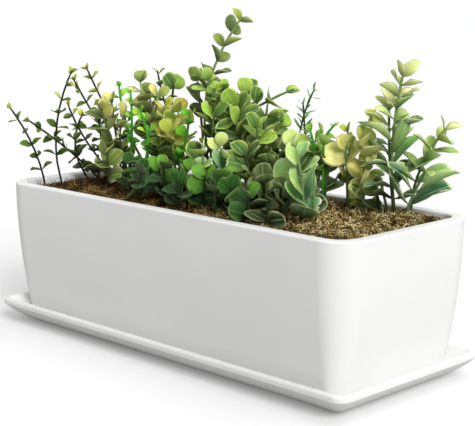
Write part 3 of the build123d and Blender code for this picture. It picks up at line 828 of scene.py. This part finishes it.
# Variegated sprigs: golden leaves with patches of green.
gold_leaf = leaf_plastic(
    "golden_variegated_plastic",
    [(0.0, "#223c12"), (0.46, "#4a7624"), (0.62, "#b2be3c"), (1.0, "#f4e46c")],
    "#f0ee88", rim=0.6, blotch="#8fb03a", spread=0.9, stalk=0.62,
)
for sprig in ("golden", "golden_upper"):
    grow_leaves(sprig, gold_leaf, ("oval", "round"), spread=1.3)

# The variegated sprig at the right: a few cream leaves among dull green ones.
cream_leaf = leaf_plastic(
    "cream_variegated_plastic",
    [(0.0, "#26421a"), (0.42, "#527232"), (0.60, "#a8ba50"), (0.74, "#f4ec88"), (1.0, "#fef6a8")],
    "#fdfab8", rim=0.6, blotch="#c4cc5c", spread=1.4, stalk=0.75,
)
grow_leaves("golden_low", cream_leaf, ("oval", "round"), spread=1.3, facing=0.6)

# Vivid green shoots left of the middle, with small spoon-shaped leaves.
bright_leaf = leaf_plastic(
    "bright_green_plastic",
    [(0.0, "#175c0e"), (0.45, "#38981a"), (0.75, "#6ed22c"), (1.0, "#c4f050")],
    "#aeec6a", rim=0.5,
)
for sprig in ("bright_left", "bright_right", "lime"):
    grow_leaves(sprig, bright_leaf, ("spoon",), spread=1.15)

# Spring green shoots behind the pale sprig.
spring_leaf = leaf_plastic(
    "spring_green_plastic",
    [(0.0, "#28561a"), (0.45, "#58922e"), (0.75, "#92c44a"), (1.0, "#d4e86a")],
    "#d8ee8a", rim=0.6,
)
grow_leaves("mid_green", spring_leaf, ("spoon",), spread=1.6)

# Long-leaved eucalyptus at the right: from blue green at the foot to a pale yellow green.
fresh_leaf = leaf_plastic(
    "long_leaved_eucalyptus_plastic",
    [(0.0, "#0e3228"), (0.32, "#2a6242"), (0.54, "#70a850"), (0.76, "#c2da74"), (1.0, "#f4f6ac")],
    "#e4f4b0", rim=0.8, spread=0.5,
)
for sprig in ("right_tall", "right_leaning"):
    grow_leaves(
        sprig, fresh_leaf, ("long",), spread=1.4, roll=0.3, facing=0.1, tip_form="box"
    )

# Low shoots along the front: deep green, and darker still by painted shade, as they stand mostly in
# shade.
deep_shaded_leaf = leaf_plastic(
    "deep_green_painted_shade_plastic",
    [(0.0, "#071509"), (0.50, "#143014"), (0.85, "#2c5a1c"), (1.0, "#72aa38")],
    "#6f9c4e", rim=0.5, spread=0.9,
)
for sprig in ("low_dark", "front_low"):
    grow_leaves(sprig, deep_shaded_leaf, ("round", "oval"), spread=1.1, facing=0.3)

# The dark olive eucalyptus beside the pale sprig, with a thin pale edge.
shade_leaf = leaf_plastic(
    "dark_olive_eucalyptus_plastic",
    [(0.0, "#182612"), (0.50, "#3a4e28"), (1.0, "#748c48")], "#c8d698", rim=0.7,
)
grow_leaves("front_dark", shade_leaf, ("round", "oval"), spread=1.1, facing=0.35)

# The rosemary-like sprig: fine needles.
needle_leaf = leaf_plastic(
    "rosemary_plastic",
    [(0.0, "#1c3c16"), (0.60, "#437a34"), (1.0, "#74ac54")], "#82b868", rim=0.2,
)
grow_leaves("needle", needle_leaf, ("needle",), spread=1.3)

# Studio: a plain pale floor that runs to a white background, a broad soft key light from the
# right and a little in front, a weaker one from above and behind that gives the shadow under the
# saucer, and even light from all round.
FLOOR_REACH = 4.0
FLOOR_GLOW = 0.16
WHITE = (1, 1, 1, 1)
AROUND_STRENGTH = 0.40
floor_mesh = bpy.data.meshes.new("floor")
build = bmesh.new()
bmesh.ops.create_grid(build, x_segments=8, y_segments=8, size=FLOOR_REACH)
build.to_mesh(floor_mesh)
build.free()
floor = bpy.data.objects.new("floor", floor_mesh)
bpy.context.collection.objects.link(floor)
paper, tree, shader = start_material("white_paper_floor")
shader.inputs["Roughness"].default_value = 0.9
shader.inputs["Specular IOR Level"].default_value = 0.1
seen = add_node(tree, "ShaderNodeLightPath").outputs["Is Camera Ray"]
paper_tint = add_node(
    tree, "ShaderNodeMix", {0: seen, 6: linear("#c2c2c2"), 7: linear("#e6e6e6")}, data_type="RGBA"
).outputs[2]
tree.links.new(paper_tint, shader.inputs["Base Color"])
lift_white = add_node(
    tree, "ShaderNodeMath", {0: seen, 1: FLOOR_GLOW}, operation="MULTIPLY"
).outputs[0]
shader.inputs["Emission Color"].default_value = WHITE
tree.links.new(lift_white, shader.inputs["Emission Strength"])
floor.data.materials.append(paper)

world = bpy.data.worlds.new("studio")
world.use_nodes = True
bpy.context.scene.world = world
tree = world.node_tree
tree.nodes.clear()
path = add_node(tree, "ShaderNodeLightPath").outputs
sharp = add_node(
    tree, "ShaderNodeMath", {0: path["Is Camera Ray"], 1: path["Is Glossy Ray"]},
    operation="MAXIMUM",
).outputs[0]
shown = add_node(
    tree, "ShaderNodeMath", {0: sharp, 1: path["Is Transmission Ray"]}, operation="MAXIMUM"
).outputs[0]
around = add_node(tree, "ShaderNodeBackground", {"Color": WHITE, "Strength": AROUND_STRENGTH})
backdrop = add_node(tree, "ShaderNodeBackground", {"Color": WHITE, "Strength": 1.0})
both = add_node(
    tree, "ShaderNodeMixShader", {0: shown, 1: around.outputs[0], 2: backdrop.outputs[0]}
)
add_node(tree, "ShaderNodeOutputWorld", {"Surface": both.outputs[0]})


def add_sun(name, towards, strength, spread):
    """A soft lamp that shines along a direction, with no fall-off, spread over some degrees."""
    lamp = bpy.data.lights.new(name, "SUN")
    lamp.energy = strength
    lamp.angle = radians(spread)
    holder = bpy.data.objects.new(name, lamp)
    holder.rotation_euler = Vector(towards).to_track_quat("-Z", "Y").to_euler()
    bpy.context.collection.objects.link(holder)


add_sun("key", (-0.77, 0.28, -0.574), strength=2.32, spread=30)
add_sun("top", (-0.20, -0.30, -0.93), strength=0.85, spread=45)

# The camera stands where the photograph was taken from: off the pot's front right corner and
# above the rim, with the frame shifted up and to the right.
CAMERA_PLACE = (0.7443, -0.7364, 0.3079)
RIGHT = Vector((0.7034, 0.7108, 0.0))
UP = Vector((-0.1512, 0.1496, 0.9771))
camera_data = bpy.data.cameras.new("camera")
camera_data.sensor_width = 36.0
camera_data.lens = 95.6
camera_data.shift_x = 0.0316
camera_data.shift_y = 0.0882
camera = bpy.data.objects.new("camera", camera_data)
placed = Matrix((RIGHT, UP, RIGHT.cross(UP))).transposed().to_4x4()
placed.translation = CAMERA_PLACE
camera.matrix_world = placed
bpy.context.collection.objects.link(camera)
bpy.context.scene.camera = camera
bpy.context.scene.view_settings.view_transform = "Standard"
